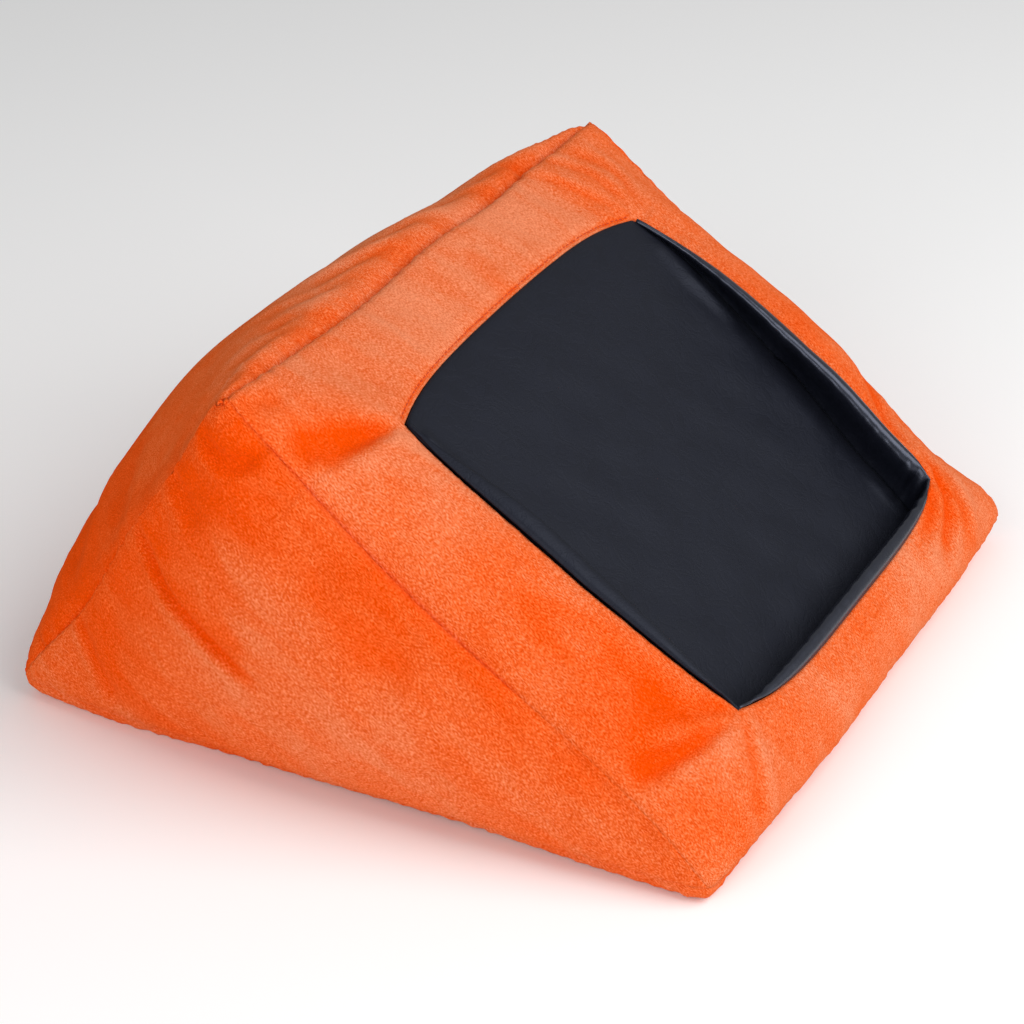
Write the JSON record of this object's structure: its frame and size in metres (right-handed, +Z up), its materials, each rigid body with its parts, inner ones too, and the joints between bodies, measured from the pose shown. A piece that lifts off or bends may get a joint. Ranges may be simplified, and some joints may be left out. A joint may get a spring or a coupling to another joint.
{
  "type": "tablet cushion stand",
  "caption": "Bead-filled plush wedge cushion whose sloping front has a sunken leatherette rest for a tablet, with a zip along the back.",
  "frame": {"origin": "middle of the flat underside, on the ground, midway between the base's front and back seams", "axes": "+Z up, +X along the cushion's width to the right of someone who reads from the tablet, +Y to its back"},
  "size_m": [0.4116, 0.3673, 0.1904],
  "materials": {
    "plush": "short-pile orange plush",
    "leatherette": "blue-black leatherette, half gloss",
    "calico": "plain woven cotton",
    "beads": "expanded foam beads",
    "foam": "open-cell foam",
    "zip_tape": "woven tape",
    "zip_teeth": "moulded",
    "zip_metal": "die-cast and plated"
  },
  "bodies": {
    "cushion": {"cover_front": "plush", "cover_end_left": "plush", "cover_end_right": "plush", "cover_back_upper": "plush", "cover_back_lower": "plush", "cover_base": "plush", "rest_floor": "leatherette", "rest_wall_left": "leatherette", "rest_wall_right": "leatherette", "rest_wall_foot": "leatherette", "rest_pad": "foam", "bead_fill": "beads", "bag_front": "calico", "bag_back": "calico", "bag_base": "calico", "bag_end_left": "calico", "bag_end_right": "calico", "zip_tape_upper": "zip_tape", "zip_tape_lower": "zip_tape", "zip_teeth_upper": "zip_teeth", "zip_teeth_lower": "zip_teeth", "zip_stop_upper": "zip_metal", "zip_stop_lower": "zip_metal", "zip_stop_bottom": "zip_metal"},
    "slider": {"zip_slider": "zip_metal"},
    "pull": {"zip_pull": "zip_metal"}
  },
  "joints": [
    {"name": "zip_slide", "type": "slide", "parent": "cushion", "child": "slider", "axis": [1, 0, 0], "range_m": [0, 0.258], "deforming": ["zip_teeth_upper", "zip_teeth_lower"]},
    {"name": "pull_hinge", "type": "hinge", "parent": "slider", "child": "pull", "pos_m": [-0.1318, 0.17921, 0.03973], "axis": [0, -0.1636, 0.9865], "range_deg": [0, 180]}
  ]
}
